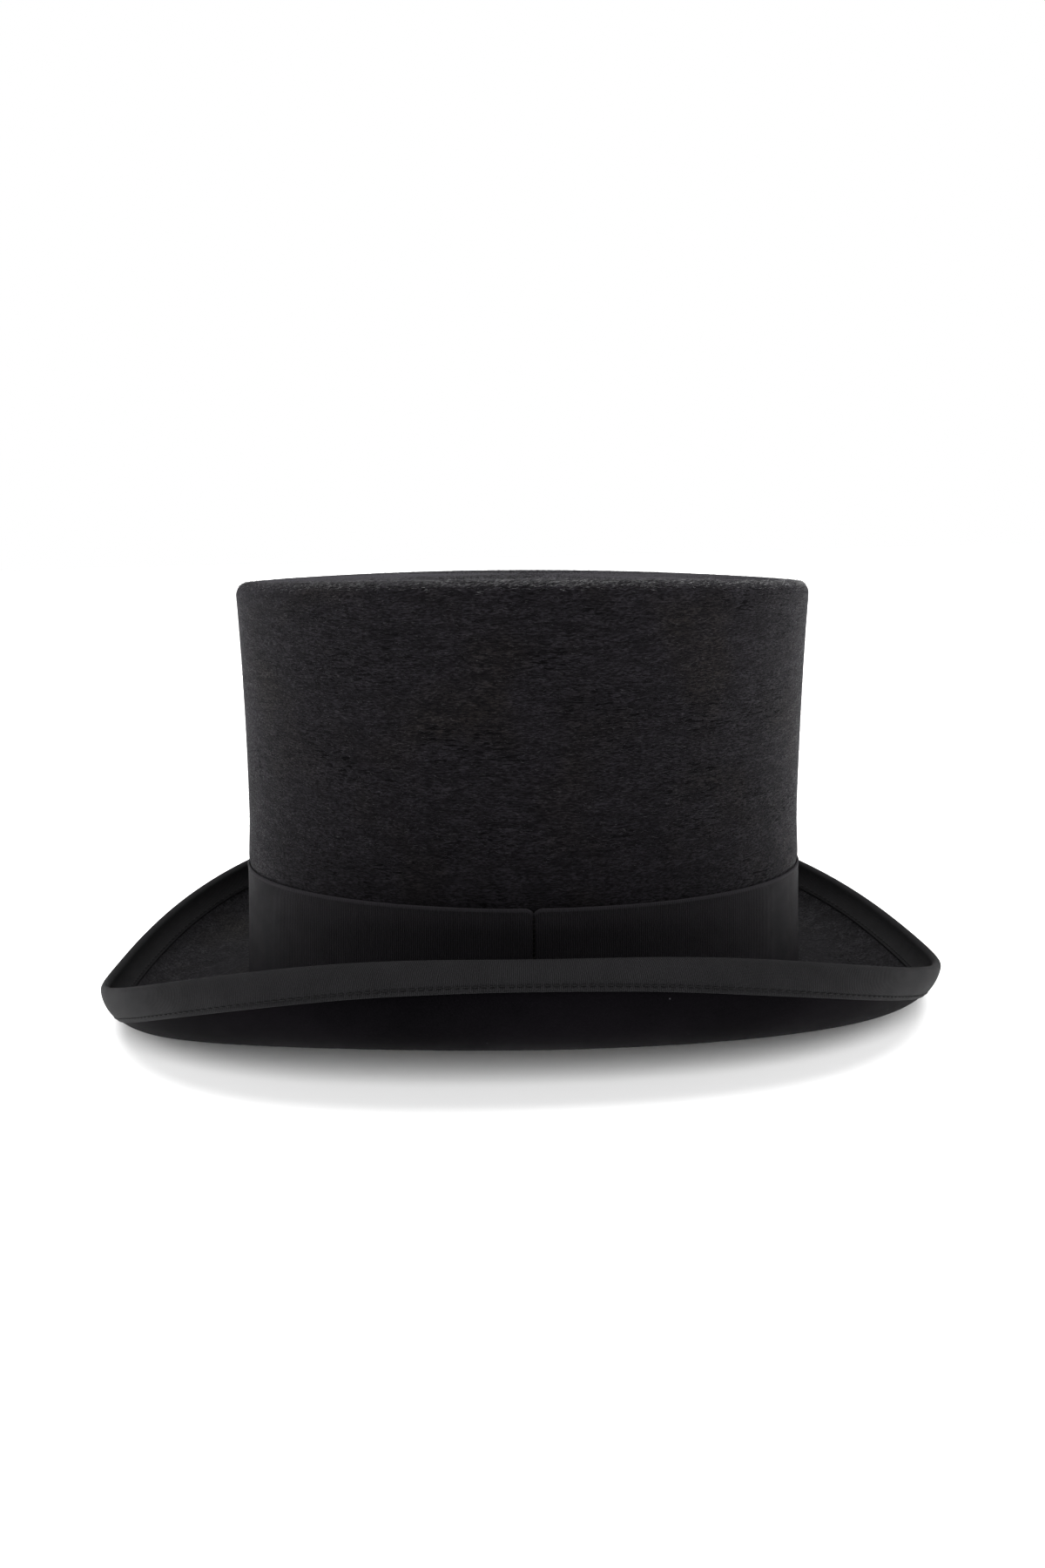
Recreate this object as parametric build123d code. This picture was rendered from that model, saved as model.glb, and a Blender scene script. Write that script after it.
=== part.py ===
from build123d import *

import math
import os

# A formal top hat with a waisted oval crown, a ribbon band and a brim curled up along both sides.
# Millimetres, +Z up. The front of the hat is at -X, the wearer's left is at -Y. The origin is the
# middle of the bounding box's bottom face: the hat rests on the front and back tips of its brim.
#
# Every layer is built upright about the crown's own axis, with height zero at the break, where the
# crown meets the brim, and the whole hat is then leaned back until both brim tips touch the floor.

# --- Crown -----------------------------------------------------------------------------------------
WAIST_HALF_LENGTH = 102.7  # outside of the cover, at the narrowest height
WAIST_HEIGHT = 66.0
FLARE = 1.5  # how much further out the crown is at the break than at the waist
LENGTH_OVER_WIDTH = 17.9  # half length less half width of every oval
CROWN_HEIGHT = 148.6
CROWN_CORNER = 4.5  # radius where the side turns into the tip
TIP_ARCH = 2.65  # the tip's front and back ends lie this far under its middle
CORNER_TURNS = (0, 22.5, 45, 67.5, 90)
SIDE_HEIGHTS = (30, 60, 90, 120)  # where the side is shaped between its foot and its corner

# --- Brim ------------------------------------------------------------------------------------------
# A brim section starts out from the break at one slope and ends at the edge at another. The values
# are for the front, the back and the sides, and the last is added half way between them.
BRIM_WIDTH = (57.8, 53.0, 57.4, 5.9)  # along the curve, break to the middle of the edge's roll
START_SLOPE = (-28.0, -16.5, 14.5, -2.0)
END_SLOPE = (86.0, 79.0, 169.0, -9.0)
WIDTH_SPREAD = 1.04  # how far round from the tips the front and back values reach
START_SPREAD = 0.63
END_SPREAD = 1.21
CURL_POWER = 2.9  # higher values keep the brim flat for longer and curl it later
BRIM_SHARES = (0.15, 0.3, 0.45, 0.58, 0.7, 0.8, 0.9)  # of its width, where it is shaped
LAYER_TURN = 8.0  # within this distance the layers turn from level to square with the curve

# --- Layers, from the outside in -------------------------------------------------------------------
GAP = 0.05  # between glued or sewn layers
CLOTH_FOOT = 0.15  # the crown's cover and band start this far above the brim's cover
BAND_THICK = 0.8
BAND_HEIGHT = 43.0
COVER_THICK = 0.7
SHELL_THICK = 1.4
LINING_THICK = 0.3
LINING_FOOT = 8.0
BRIM_COVER_THICK = 0.5
BOARD_THICK = 1.3
FLANGE_THICK = 0.65
FLANGE_WIDTH = 7.5
FLANGE_STEPS = (0, 2.5, 5, FLANGE_WIDTH)
BINDING_THICK = 0.4
BINDING_OUTER = (10.4, 9.8, 8.6, -0.9)  # from the edge down the outer face, in the same order
BINDING_SPREAD = 1.0
BINDING_INNER = 9.0  # from the edge down the inner face
BINDING_SHARES = (1, 0.67, 0.33, 0)  # where its faces are shaped, as shares of those reaches
EDGE_WIRE_RADIUS = 0.9

# --- Sweatband -------------------------------------------------------------------------------------
LEATHER_THICK = 1.1
LEATHER_TOP = 37.0
LEATHER_FOOT = -2.4
TAPE_THICK = 0.3
TAPE_TOP = 6.0
TAPE_HEM_TOP = -0.8
REED_RADIUS = 0.6
REED_HEIGHT = -3.05

# --- Thread and bow --------------------------------------------------------------------------------
THREAD_THICK = 0.3
BINDING_STITCH_INSET = 1.3  # from the binding's lower edge
HEM_STITCH_HEIGHT = -1.6
JOIN_CUT = 0.4  # opening where two ends of a strip meet
STITCH_LENGTH = 3.0
STITCH_PITCH = 3.4
BAND_STITCH_LENGTH = 1.5
ZIGZAG_SLANT = 30.0
BOW_HEIGHT = 9.0
BOW_LOOP = (14.0, 7.5, 2.2)  # length, height and depth
BOW_KNOT = (4.2, 4.6, 3.0)  # width, height and depth
BOW_KNOT_ROUND = 0.85
BOW_TAIL = (11.0, 4.5, 0.5)
BOW_TAIL_DROOP = 20.0
BOW_CLEARANCE = 2.4  # from the leather at the back join to the loops

LEAN = 1.25  # degrees that the crown leans back when both brim tips rest on the floor
RING_POINTS = 48
CURVE_STEPS = 48
MEETING = 0.001  # rings this close are one ring
ROUND_HALVES = ((0, 60, 120, 180), (180, 240, 300, 360))  # turns round a wire or reed, in degrees
BINDING_TURNS = (0, 45, 90, 135, 180)  # round the brim's edge
TAPE_TURNS = (180, 225, 270, 315, 360)  # under the reed
SPARE = 10.0  # how far a cutting block reaches past what it cuts

BAND_OUT = BAND_THICK + GAP
SHELL_DEPTH = COVER_THICK + GAP
LINING_DEPTH = SHELL_DEPTH + SHELL_THICK + GAP
TAPE_DEPTH = LINING_DEPTH + LINING_THICK + 2 * GAP
LEATHER_DEPTH = TAPE_DEPTH + TAPE_THICK + 2 * GAP
REED_DEPTH = TAPE_DEPTH + TAPE_THICK + GAP + REED_RADIUS
LEATHER_FACE = LEATHER_DEPTH + LEATHER_THICK
BOARD_DEPTH = BRIM_COVER_THICK + GAP
UNDER_DEPTH = BOARD_DEPTH + BOARD_THICK + GAP
BRIM_THICK = UNDER_DEPTH + BRIM_COVER_THICK
FLANGE_DEPTH = UNDER_DEPTH - GAP - FLANGE_THICK
CORNER_HEIGHT = CROWN_HEIGHT - CROWN_CORNER
EDGE_SETBACK = EDGE_WIRE_RADIUS + 2 * GAP  # the brim's layers stop this far short of the roll's middle


def half_length(height):
    """Half the crown's outside length at a height."""
    offset = (min(height, CORNER_HEIGHT) - WAIST_HEIGHT) / WAIST_HEIGHT
    return WAIST_HALF_LENGTH + FLARE * offset**2


def oval_radius(angle, half):
    """Distance from the axis to an oval, in a direction given in radians."""
    width = half - LENGTH_OVER_WIDTH
    return half * width / math.hypot(width * math.cos(angle), half * math.sin(angle))


def around(values, spread, angle):
    """A brim value in one direction, blended from its front, back, side and in-between values."""
    front, back, side, between = values
    across = math.sin(angle) ** 2
    lengthwise = math.cos(angle) ** 2
    side_share = across / (across + spread**2 * lengthwise)
    rear = (1 + math.cos(angle)) / 2
    rear = rear * rear * (3 - 2 * rear)
    tip = front * (1 - rear) + back * rear
    return tip * (1 - side_share) + side * side_share + between * math.sin(2 * angle) ** 2


def crown_at(height, depth):
    """A ring round the crown at a height and a depth under the cover's outside."""

    def place(angle):
        radius = oval_radius(angle, half_length(height) - depth)
        x = radius * math.cos(angle)
        rise = max(height, 0) / CROWN_HEIGHT
        slope = math.radians(around(START_SLOPE, START_SPREAD, angle))
        foot = -(BAND_OUT + depth) * math.tan(slope) * (1 - rise)
        arch = TIP_ARCH * (x / half_length(CROWN_HEIGHT) * rise) ** 2
        return x, radius * math.sin(angle), height + foot - arch

    return place


def corner_at(turn, depth):
    """A ring in the rounded corner: zero degrees at the side, ninety at the tip."""
    radius = CROWN_CORNER - depth
    inset = CROWN_CORNER - radius * math.cos(math.radians(turn))
    return crown_at(CORNER_HEIGHT + radius * math.sin(math.radians(turn)), inset)


def brim_at(share, extra, depth):
    """A ring round the brim: a share of its width plus some millimetres, and a depth under its top."""

    def place(angle):
        break_radius = oval_radius(angle, half_length(0) + BAND_OUT)
        width = around(BRIM_WIDTH, WIDTH_SPREAD, angle)
        start = math.radians(around(START_SLOPE, START_SPREAD, angle))
        end = math.radians(around(END_SLOPE, END_SPREAD, angle))
        along = share * width + extra
        if along <= 0:
            radius = break_radius + along
            return radius * math.cos(angle), radius * math.sin(angle), along * math.tan(start) - depth
        radius, height, step = break_radius, 0.0, along / CURVE_STEPS
        for index in range(CURVE_STEPS):
            slope = start + (end - start) * ((index + 0.5) * step / width) ** CURL_POWER
            radius += step * math.cos(slope)
            height += step * math.sin(slope)
        slope = start + (end - start) * (along / width) ** CURL_POWER
        slope *= min(1.0, along / LAYER_TURN)
        radius += depth * math.sin(slope)
        height -= depth * math.cos(slope)
        return radius * math.cos(angle), radius * math.sin(angle), height

    return place


def binding_reach(angle):
    return around(BINDING_OUTER, BINDING_SPREAD, angle)


def edge_at(turn, radius):
    """A ring in the edge's roll: zero degrees on the upper face, 180 on the under face."""
    turn = math.radians(turn)
    return brim_at(1, radius * math.sin(turn), BRIM_THICK / 2 - radius * math.cos(turn))


def ring(place):
    angles = [2 * math.pi * index / RING_POINTS for index in range(RING_POINTS)]
    return Wire([Spline([place(angle) for angle in angles], periodic=True)])


def ring_solid(*stretches):
    """A closed solid round the axis. Each stretch is a list of rings that are joined smoothly, and
    a straight face joins the end of each stretch to the start of the next, unless they meet."""
    smooth = [[ring(place) for place in stretch] for stretch in stretches]
    faces = []
    for index, rings in enumerate(smooth):
        if len(rings) > 1:
            faces += Shell.make_loft(rings, ruled=len(rings) == 2).faces()
        last, following = rings[-1], smooth[(index + 1) % len(smooth)][0]
        if ((last @ 0) - (following @ 0)).length > MEETING:
            faces += Shell.make_loft([last, following], ruled=True).faces()
    return Solid(Shell(faces))


def backwards(stretches):
    return [stretch[::-1] for stretch in stretches[::-1]]


def side_face(foot, depth):
    """One face of the crown's side, from its foot up round the corner to the edge of the tip."""
    wall = [crown_at(height, depth) for height in (foot, *SIDE_HEIGHTS, CORNER_HEIGHT)]
    corner = [corner_at(turn, depth) for turn in CORNER_TURNS]
    return [wall, corner]


def side_layer(foot, depth, thick):
    return ring_solid(*side_face(foot, depth), *backwards(side_face(foot, depth + thick)))


def tip_layer(depth, thick):
    """An oval plate of the crown's tip, arched from front to back."""
    half = half_length(CORNER_HEIGHT) - CROWN_CORNER - GAP
    oval = Ellipse(half, half - LENGTH_OVER_WIDTH)
    top = CROWN_HEIGHT - depth
    ends = top - TIP_ARCH
    upper = ThreePointArc((-half, 0, ends), (0, 0, top), (half, 0, ends))
    lower = upper.moved(Location((0, 0, -thick)))
    sides = [Line(upper @ end, lower @ end) for end in (0, 1)]
    section = Face(Wire([upper, lower, *sides]))
    plate = extrude(section, amount=half, dir=(0, 1, 0), both=True)
    column = Pos(0, 0, ends - SPARE) * extrude(oval, amount=TIP_ARCH + 2 * SPARE)
    return (plate & column).solid()


def crown_side_shell():
    """The stiff side, turned out at its foot into a flange that holds the brim board."""
    outer = side_face(-FLANGE_DEPTH, SHELL_DEPTH)
    top = [brim_at(0, along, FLANGE_DEPTH) for along in FLANGE_STEPS]
    bottom = [brim_at(0, along, FLANGE_DEPTH + FLANGE_THICK) for along in FLANGE_STEPS[::-1]]
    inner = side_face(-FLANGE_DEPTH - FLANGE_THICK, SHELL_DEPTH + SHELL_THICK)
    return ring_solid(*backwards(outer), top, bottom, *inner)


def brim_face(start, depth, end=-EDGE_SETBACK):
    """Rings from a distance beside the break out to the brim's edge, at one depth."""
    middle = [brim_at(share, 0, depth) for share in BRIM_SHARES]
    return [brim_at(0, start, depth), *middle, brim_at(1, end, depth)]


def brim_shell():
    """The brim board, rebated under its inner edge for the crown's flange."""
    inner = GAP - BAND_OUT - SHELL_DEPTH
    seat_depth = FLANGE_DEPTH - GAP
    ledge = [brim_at(0, inner, seat_depth)]
    seat = [brim_at(0, along, seat_depth) for along in FLANGE_STEPS]
    step = brim_at(0, FLANGE_WIDTH + GAP, seat_depth)
    top = brim_face(inner, BOARD_DEPTH)
    bottom = brim_face(FLANGE_WIDTH + GAP, BOARD_DEPTH + BOARD_THICK)
    return ring_solid(ledge, seat, [step], bottom, top[::-1])


def brim_upper_cover():
    inner = GAP - BAND_OUT - SHELL_DEPTH
    return ring_solid(brim_face(inner, 0), brim_face(inner, BRIM_COVER_THICK)[::-1])


def brim_under_cover():
    inner = -BAND_OUT - SHELL_DEPTH - SHELL_THICK
    return ring_solid(brim_face(inner, UNDER_DEPTH), brim_face(inner, BRIM_THICK)[::-1])


def brim_edge_wire():
    return ring_solid(*([edge_at(turn, EDGE_WIRE_RADIUS) for turn in half] for half in ROUND_HALVES))


def brim_binding():
    """Ribbon folded over the brim's edge and reaching down both faces."""

    def outer_face(share, lift):
        return lambda angle: brim_at(1, -share * binding_reach(angle), BRIM_THICK + lift)(angle)

    def fold(lift):
        inner_steps = [BINDING_INNER * share for share in BINDING_SHARES]
        upper = [brim_at(1, -along, -lift) for along in inner_steps]
        roll = [edge_at(turn, BRIM_THICK / 2 + lift) for turn in BINDING_TURNS]
        under = [outer_face(share, lift) for share in BINDING_SHARES[::-1]]
        return [upper, roll, under]

    return ring_solid(*fold(GAP), *backwards(fold(GAP + BINDING_THICK)))


def square_thread(corners):
    return ring_solid(*([corner] for corner in corners))


def binding_stitching():
    """The line of stitches along the binding's lower edge, as one thread."""
    near = BINDING_STITCH_INSET
    far = near + THREAD_THICK
    low = BRIM_THICK + 2 * GAP + BINDING_THICK
    high = low + THREAD_THICK

    def corner(inset, depth):
        return lambda angle: brim_at(1, inset - binding_reach(angle), depth)(angle)

    corners = ((near, low), (far, low), (far, high), (near, high))
    return square_thread([corner(inset, depth) for inset, depth in corners])


def hat_band():
    """The ribbon round the crown's foot, open where its two ends meet on the wearer's left."""

    def face(depth):
        return [crown_at(height, depth) for height in (CLOTH_FOOT, BAND_HEIGHT / 2, BAND_HEIGHT)]

    strip = ring_solid(face(-BAND_OUT), face(-GAP)[::-1])
    y = LENGTH_OVER_WIDTH - half_length(BAND_HEIGHT / 2)
    return strip - Pos(0, y, BAND_HEIGHT / 2) * Box(JOIN_CUT, SPARE, BAND_HEIGHT + SPARE)


def hat_band_join_stitches():
    """Short stitches across the band's join, one above the other."""
    count = int(BAND_HEIGHT / STITCH_PITCH)
    stitches = []
    for index in range(count):
        height = (index + 0.5) * BAND_HEIGHT / count
        y = LENGTH_OVER_WIDTH - half_length(height) - BAND_OUT - THREAD_THICK
        stitches.append(Pos(0, y, height) * Box(BAND_STITCH_LENGTH, THREAD_THICK, THREAD_THICK))
    return Compound(stitches)


def sweatband():
    """The leather strip that bears on the head, open where its ends meet at the back."""

    def face(depth):
        heights = (LEATHER_FOOT, LEATHER_TOP / 2, LEATHER_TOP)
        return [crown_at(height, depth) for height in heights]

    strip = ring_solid(face(LEATHER_DEPTH), face(LEATHER_FACE)[::-1])
    x = half_length(LEATHER_TOP / 2) - LEATHER_DEPTH
    return strip - Pos(x, 0, LEATHER_TOP / 2) * Box(SPARE, JOIN_CUT, LEATHER_TOP + SPARE)


def sweatband_join_stitches():
    """Zigzag stitches across the leather's back join, above the bow."""
    first = BOW_HEIGHT + BOW_LOOP[1]
    count = int((LEATHER_TOP - first) / STITCH_PITCH)
    stitches = []
    for index in range(count):
        height = first + (index + 0.5) * STITCH_PITCH
        x = half_length(height) - LEATHER_FACE - THREAD_THICK
        slant = ZIGZAG_SLANT if index % 2 else -ZIGZAG_SLANT
        stitch = Box(THREAD_THICK, STITCH_LENGTH, THREAD_THICK)
        stitches.append(Pos(x, 0, height) * Rot(slant, 0, 0) * stitch)
    return Compound(stitches)


def round_reed(turn, radius):
    """A ring beside the reed: zero degrees towards the head, ninety upwards."""
    rise = radius * math.sin(math.radians(turn))
    reach = radius * math.cos(math.radians(turn))
    return crown_at(REED_HEIGHT + rise, REED_DEPTH + reach)


def sweatband_reed():
    return ring_solid(*([round_reed(turn, REED_RADIUS) for turn in half] for half in ROUND_HALVES))


def sweatband_reed_tape():
    """The tape folded under the reed: its outer leaf stands behind the leather."""

    def fold(radius):
        leaf = [crown_at(TAPE_TOP, REED_DEPTH - radius)]
        turn = [round_reed(degrees, radius) for degrees in TAPE_TURNS]
        hem = [crown_at(TAPE_HEM_TOP, REED_DEPTH + radius)]
        return [leaf, turn, hem]

    inner = REED_RADIUS + GAP
    return ring_solid(*fold(inner), *backwards(fold(inner + TAPE_THICK)))


def sweatband_stitching():
    """The line of stitches that fastens the tape's hem to the leather, as one thread."""
    near = REED_DEPTH + REED_RADIUS + 2 * GAP + TAPE_THICK
    far = near + THREAD_THICK
    low, high = HEM_STITCH_HEIGHT, HEM_STITCH_HEIGHT + THREAD_THICK
    corners = ((low, near), (high, near), (high, far), (low, far))
    return square_thread([crown_at(height, depth) for height, depth in corners])


def bow_centre():
    x = half_length(BOW_HEIGHT) - LEATHER_FACE - BOW_CLEARANCE
    return Pos(x, 0, BOW_HEIGHT)


def bow_loop():
    """One loop of the bow: a flattened oval that points along +Y."""
    length, height, depth = BOW_LOOP
    outline = Ellipse(length / 2, height / 2)
    loop = extrude(outline, amount=depth)
    upright = Location((0, 0, 0), (0, -90, 0)) * Location((0, 0, 0), (0, 0, 90)) * loop
    start = BOW_KNOT[0] / 2 + 2 * GAP + length / 2
    return Pos(0, start, 0) * upright


def sweatband_bow_loops():
    loop = bow_loop()
    return Compound([bow_centre() * side for side in (loop, mirror(loop, Plane.XZ))])


def sweatband_bow_knot():
    width, height, depth = BOW_KNOT
    knot = Box(depth, width, height)
    knot = fillet(knot.edges(), BOW_KNOT_ROUND)
    return Pos(-depth / 2, 0, 0) * bow_centre() * knot


def sweatband_bow_tails():
    length, height, depth = BOW_TAIL
    tails = []
    for side in (-1, 1):
        tail = Pos(0, side * length / 2, 0) * Box(depth, length, height)
        turned = Rot(-side * BOW_TAIL_DROOP, 0, 0) * tail
        tails.append(bow_centre() * Pos(depth, side * BOW_KNOT[0] / 2, -BOW_LOOP[1] / 2) * turned)
    return Compound(tails)


PIECES = {
    "crown_side_cover": lambda: side_layer(CLOTH_FOOT, 0, COVER_THICK),
    "crown_tip_cover": lambda: tip_layer(0, COVER_THICK),
    "crown_side_shell": crown_side_shell,
    "crown_tip_shell": lambda: tip_layer(SHELL_DEPTH, SHELL_THICK),
    "lining_side": lambda: side_layer(LINING_FOOT, LINING_DEPTH, LINING_THICK),
    "lining_tip": lambda: tip_layer(LINING_DEPTH, LINING_THICK),
    "brim_shell": brim_shell,
    "brim_upper_cover": brim_upper_cover,
    "brim_under_cover": brim_under_cover,
    "brim_edge_wire": brim_edge_wire,
    "brim_binding": brim_binding,
    "binding_stitching": binding_stitching,
    "hat_band": hat_band,
    "hat_band_join_stitches": hat_band_join_stitches,
    "sweatband": sweatband,
    "sweatband_join_stitches": sweatband_join_stitches,
    "sweatband_reed": sweatband_reed,
    "sweatband_reed_tape": sweatband_reed_tape,
    "sweatband_stitching": sweatband_stitching,
    "sweatband_bow_loops": sweatband_bow_loops,
    "sweatband_bow_knot": sweatband_bow_knot,
    "sweatband_bow_tails": sweatband_bow_tails,
}

OUTERMOST = ("brim_binding", "binding_stitching", "brim_under_cover")


def main():
    os.makedirs("parts", exist_ok=True)
    lean = Location((0, 0, 0), (0, LEAN, 0))
    leaned = {name: lean * make() for name, make in PIECES.items()}
    box = Compound([leaned[name] for name in OUTERMOST]).bounding_box()
    rest = Pos(-box.center().X, -box.center().Y, -box.min.Z)
    for name, piece in leaned.items():
        export_step(rest * piece, f"parts/{name}.step")


main()
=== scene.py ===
"""A formal top hat: a napped crown and brim, a ribbon band and binding, a leather sweatband and a
satin lining. Metres, in the row frame. Every layer is worked out upright, about the crown's axis and
from the break where the crown meets the brim, and is then leaned and lifted to where the hat rests."""

import math

import bpy
import numpy as np
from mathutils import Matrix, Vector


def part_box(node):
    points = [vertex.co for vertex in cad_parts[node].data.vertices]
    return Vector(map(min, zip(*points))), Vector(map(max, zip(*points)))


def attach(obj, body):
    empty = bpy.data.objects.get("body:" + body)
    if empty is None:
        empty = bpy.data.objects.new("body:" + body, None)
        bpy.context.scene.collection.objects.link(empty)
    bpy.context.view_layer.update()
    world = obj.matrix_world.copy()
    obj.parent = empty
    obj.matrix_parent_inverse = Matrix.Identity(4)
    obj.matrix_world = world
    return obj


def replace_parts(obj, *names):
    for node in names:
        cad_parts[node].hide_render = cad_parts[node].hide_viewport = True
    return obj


MM = 0.001
SEED = 7
LEAN = math.radians(1.25)  # how far the hat leans when it rests on its brim

# --- Crown ---
WAIST_HALF_LENGTH = 102.7 * MM
WAIST_HEIGHT = 66.0 * MM
FLARE = 1.5 * MM
LENGTH_OVER_WIDTH = 17.9 * MM
CROWN_HEIGHT = 148.6 * MM
CROWN_CORNER = 4.5 * MM
TIP_ARCH = 2.65 * MM
CORNER_HEIGHT = CROWN_HEIGHT - CROWN_CORNER

# --- Brim: values at the front, back and sides, and what is added half way between ---
BRIM_WIDTH = (57.8 * MM, 53.0 * MM, 57.4 * MM, 5.9 * MM)
START_SLOPE = (-28.0, -16.5, 14.5, -2.0)
END_SLOPE = (86.0, 79.0, 169.0, -9.0)
WIDTH_SPREAD = 1.04
START_SPREAD = 0.63
END_SPREAD = 1.21
CURL_POWER = 2.9
LAYER_TURN = 8.0 * MM
BRIM_STEPS = 64  # short straight steps that add up to the brim's curve

# --- Layers ---
GAP = 0.05 * MM
BAND_THICK = 0.8 * MM
BAND_HEIGHT = 43.0 * MM
COVER_THICK = 0.7 * MM
SHELL_THICK = 1.4 * MM
LINING_THICK = 0.3 * MM
LINING_FOOT = 8.0 * MM
LINING_TIP_SHARE = 0.996  # how far its tip reaches out under the crown's
BRIM_COVER_THICK = 0.5 * MM
BOARD_THICK = 1.3 * MM
BINDING_THICK = 0.4 * MM
BINDING_OUTER = (10.4 * MM, 9.8 * MM, 8.6 * MM, -0.9 * MM)  # front, back, sides, half way between
BINDING_SPREAD = 1.0
BINDING_INNER = 9.0 * MM
LEATHER_THICK = 1.1 * MM
LEATHER_TOP = 37.0 * MM
LEATHER_FOOT = -2.4 * MM
TAPE_THICK = 0.3 * MM
TAPE_TOP = 6.0 * MM
TAPE_HEM_TOP = -0.8 * MM
REED_RADIUS = 0.6 * MM
REED_HEIGHT = -3.05 * MM
EDGE_SETBACK = 1.0 * MM

BAND_OUT = BAND_THICK + GAP
SHELL_DEPTH = COVER_THICK + GAP
LINING_DEPTH = SHELL_DEPTH + SHELL_THICK + GAP
TAPE_DEPTH = LINING_DEPTH + LINING_THICK + 2 * GAP
LEATHER_DEPTH = TAPE_DEPTH + TAPE_THICK + 2 * GAP
REED_DEPTH = TAPE_DEPTH + TAPE_THICK + GAP + REED_RADIUS
LEATHER_FACE = LEATHER_DEPTH + LEATHER_THICK
UNDER_DEPTH = BRIM_COVER_THICK + GAP + BOARD_THICK + GAP
BRIM_THICK = UNDER_DEPTH + BRIM_COVER_THICK

# --- Points in the meshes ---
AROUND = 720
TAPE_AROUND = 900
LINING_AROUND = 1008
LINING_TIP_AROUND = 1440
SIDE_ROWS = 96
SIDE_BACK_ROWS = 16
CORNER_ROWS = 10
TIP_ROWS = 70
BRIM_ROWS = 64
BINDING_INNER_ROWS = 14
BINDING_ROLL_ROWS = 15
BINDING_OUTER_ROWS = 36
BAND_ROWS = 46
LEATHER_ROWS = 36
LINING_ROWS = 44
LINING_TIP_ROWS = 60
SMALLEST_RING = 0.01  # a disc's last ring, as a share of its first
TIP_FIT = 0.9994  # the tip's cloth ends just inside the side's

# --- Unevenness ---
WAVE_TURNS = (2, 3, 5, 7, 11, 16)  # waves round the hat
WAVE_RATES = (20.0, 70.0)  # and across it, in radians per metre
WAVE_LEVEL = 2.2  # brings the sum of the waves back to about one
SIDE_WAVE = 0.22 * MM
TIP_WAVE = 0.25 * MM
TIP_WAVE_REACH = 100.0 * MM
BRIM_WAVE = 0.15 * MM
BRIM_WAVE_REACH = 60.0 * MM
BINDING_WAVE = 0.25 * MM
BAND_WAVE = 0.12 * MM
LEATHER_WAVE = 0.15 * MM
PUFF = 2.5  # how many waves' height the nap stands out over the band's top
PUFF_RISE = 3.0 * MM
CALM_RISE = 2.0 * MM  # the waves begin this far above the band
WAVY_RISE = 20.0 * MM  # and are at their full size from here

# --- Joins, ribs and threads: a groove or fold is its depth, where it begins to fade and its end ---
JOIN_ANGLE = -math.pi / 2  # the band's join is on the wearer's left
JOIN_CLOSE_UP = 8.0  # degrees beside the join where the points are closer together
NOTCH_DEPTH = 1.3 * MM
NOTCH_HALF = 2.6 * MM
NOTCH_POWER = 1.4
BAND_FOLD = (0.15 * MM, 1.0 * MM, 9.0 * MM)
BAND_GROOVE = (0.75 * MM, 0.1 * MM, 0.55 * MM)
LEATHER_GROOVE = (0.7 * MM, 0.1 * MM, 0.6 * MM)
SELVEDGE_RISE = 0.22 * MM
RIB_PITCH = 0.75 * MM
BINDING_RIB_PITCH = 0.6 * MM
SOFT_EDGE = 0.15 * MM
THREAD_RADIUS = 0.19 * MM
STITCH_SIDES = 6
STITCH_JITTER = 0.05
PATH_POINTS = 4000
SMALL_TURN = 0.001
BINDING_STITCH_PITCH = 2.7 * MM
BINDING_STITCH_LENGTH = 1.8 * MM
BINDING_STITCH_INSET = 1.3 * MM
STITCH_GROOVE = 0.25 * MM
STITCH_GROOVE_HALF = 0.4 * MM
HEM_STITCH_PITCH = 2.6 * MM
HEM_STITCH_LENGTH = 1.8 * MM
HEM_STITCH_HEIGHT = -1.5 * MM
JOIN_THREAD_RADIUS = 0.12 * MM
JOIN_MARGIN = 1.5 * MM
JOIN_PITCH = 1.6 * MM
JOIN_REACH = 0.5 * MM
JOIN_SLANT = 0.25 * MM
THREAD_LIFT = 0.1 * MM
ZIGZAG_FOOT = 17.5 * MM
ZIGZAG_PITCH = 1.9 * MM
ZIGZAG_HALF_WIDTH = 1.4 * MM
ZIGZAG_RISE = 0.9 * MM

# --- Nap: each hair is its length, how much that varies, and its rise as a share of it ---
COMB_SPREAD = 0.24  # how unevenly the nap is combed, in radians
SIDE_NAP_START = 0.6 * MM  # above the band
CORNER_NAP = (1.0, 0.3)  # radians round the corner, and their spread
TIP_NAP_SMALLEST = 0.0004
BRIM_NAP_SHARES = (0.01, 0.985)
HAIR_HALF_WIDTH = (0.022 * MM, 0.042 * MM)
HAIR_ROOT = 0.1 * MM
SIDE_HAIR = (1.1 * MM, 0.4 * MM, 0.16)
CORNER_HAIR = (1.5 * MM, 0.6 * MM, 0.2)
TIP_HAIR = (1.9 * MM, 0.7 * MM, 0.14)
BRIM_HAIR = (1.5 * MM, 0.6 * MM, 0.22)
SIDE_HAIRS = 40000
SIDE_PAINTED_GLINT_HAIRS = 18000
CORNER_HAIRS = 9000
TIP_HAIRS = 22000
BRIM_HAIRS = 30000

# --- Lining ---
GATHERS = 84
SIDE_GATHER = 1.0 * MM
TIP_GATHER = 0.8 * MM


def around(values, spread, angle):
    """A value all round the hat, blended from those at the front, back and sides. A larger spread
    takes the front's and back's further round, and the fourth value is added half way between."""
    front, back, side, between = values
    across = np.sin(angle) ** 2
    side_share = across / (across + spread**2 * np.cos(angle) ** 2)
    rear = (1 + np.cos(angle)) / 2
    rear = rear * rear * (3 - 2 * rear)
    tip = front * (1 - rear) + back * rear
    return tip * (1 - side_share) + side * side_share + between * np.sin(2 * angle) ** 2


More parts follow.
